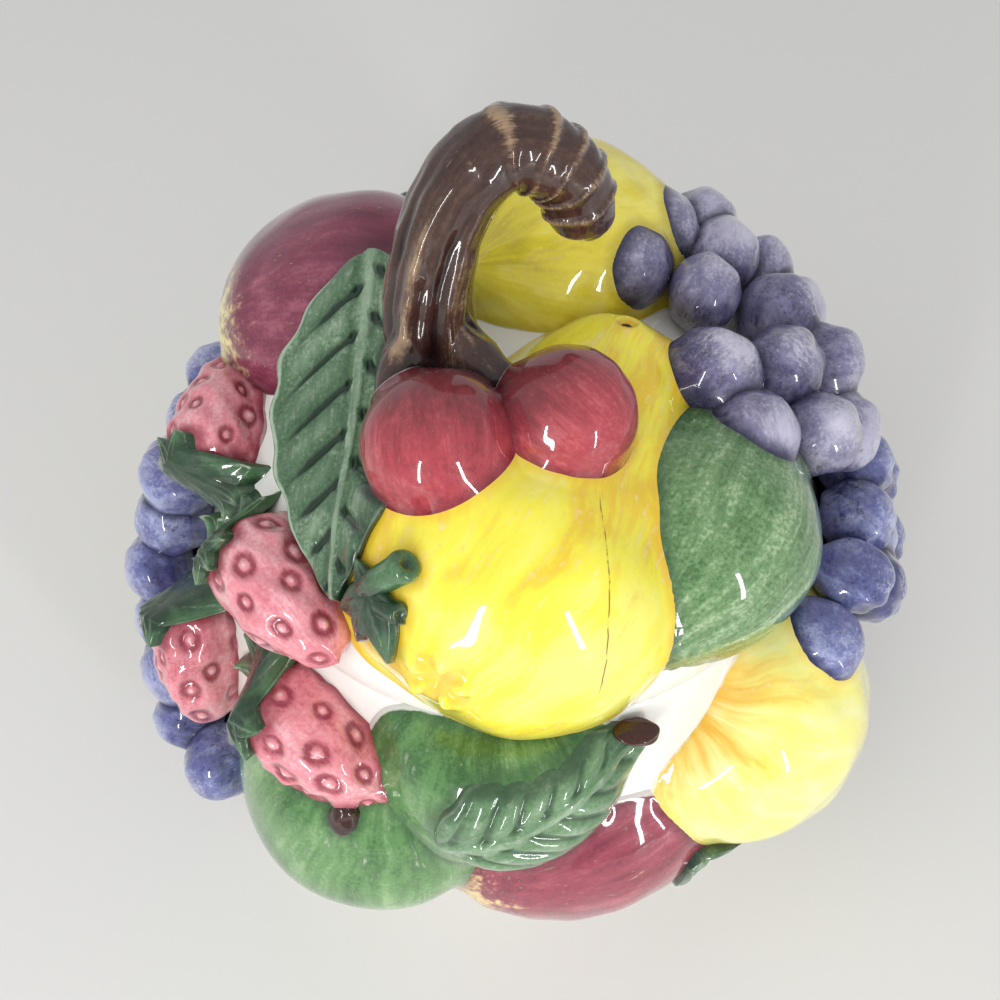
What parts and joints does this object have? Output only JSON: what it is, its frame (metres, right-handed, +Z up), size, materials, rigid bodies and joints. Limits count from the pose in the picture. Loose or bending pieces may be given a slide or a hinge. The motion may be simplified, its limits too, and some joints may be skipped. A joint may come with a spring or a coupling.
{
  "type": "cookie jar",
  "caption": "Round glazed earthenware cookie jar heaped with moulded fruit and leaves, with a lift-off lid carried by a hooked twig handle.",
  "frame": {"origin": "middle of the jar's flat foot, on the surface it stands on", "axes": "+Z up along the jar's axis, the way the lid lifts off; -Y towards the front; +X to the viewer's right"},
  "size_m": [0.2436, 0.2237, 0.2312],
  "materials": {
    "white_glaze": "glossy white glaze",
    "bark_glaze": "umber glaze rubbed off the ridges",
    "cherry_glaze": "glossy crimson glaze, brushed",
    "pear_glaze": "glossy yellow glaze with ochre strokes",
    "lemon_glaze": "glossy yellow glaze with olive shading",
    "peach_glaze": "wine-red brush strokes over pale glaze",
    "pale_grape_glaze": "glossy lavender glaze, thin on the crowns",
    "dark_grape_glaze": "glossy indigo glaze, dark in the hollows",
    "leaf_glaze": "green glaze pooled in the veins",
    "fig_glaze": "mottled green glaze",
    "green_apple_glaze": "green brush strokes over pale glaze",
    "yellow_apple_glaze": "glossy yellow glaze with an orange blush",
    "strawberry_glaze": "coral-rose glaze, dark in the seed pits",
    "stalk_glaze": "glossy dark brown glaze"
  },
  "bodies": {
    "jar": {"jar_shell": "white_glaze", "front_leaf": "leaf_glaze", "strawberry_left_cap": "leaf_glaze", "strawberry_left": "strawberry_glaze", "strawberry_low_cap": "leaf_glaze", "strawberry_low": "strawberry_glaze", "yellow_apple_stalk": "stalk_glaze", "green_apple_stalk": "stalk_glaze", "yellow_apple": "yellow_apple_glaze", "plum": "peach_glaze", "green_apple_left": "green_apple_glaze", "green_apple_front": "green_apple_glaze", "side_leaf": "leaf_glaze", "right_grapes": "dark_grape_glaze", "left_grapes": "dark_grape_glaze", "right_leaf": "leaf_glaze", "left_leaf": "leaf_glaze", "right_plum": "peach_glaze", "back_leaf_upper": "leaf_glaze", "left_pear": "pear_glaze", "back_leaf_right": "leaf_glaze", "back_lemon": "lemon_glaze", "back_peach": "peach_glaze", "back_apple": "green_apple_glaze", "back_leaf_left": "leaf_glaze"},
    "lid": {"lid_shell": "white_glaze", "twig_handle": "bark_glaze", "cherry_left": "cherry_glaze", "cherry_right": "cherry_glaze", "crown_leaf": "leaf_glaze", "pear": "pear_glaze", "blossom_sprig": "leaf_glaze", "lid_grapes": "pale_grape_glaze", "strawberry_side_cap": "leaf_glaze", "strawberry_side": "strawberry_glaze", "strawberry_front_cap": "leaf_glaze", "strawberry_front": "strawberry_glaze", "peach": "peach_glaze", "lemon": "lemon_glaze", "fig": "fig_glaze", "lid_back_leaf": "leaf_glaze"}
  },
  "joints": [
    {"name": "lid_lift", "type": "slide", "parent": "jar", "child": "lid", "axis": [0, 0, 1], "range_m": [0, 0.15]}
  ]
}
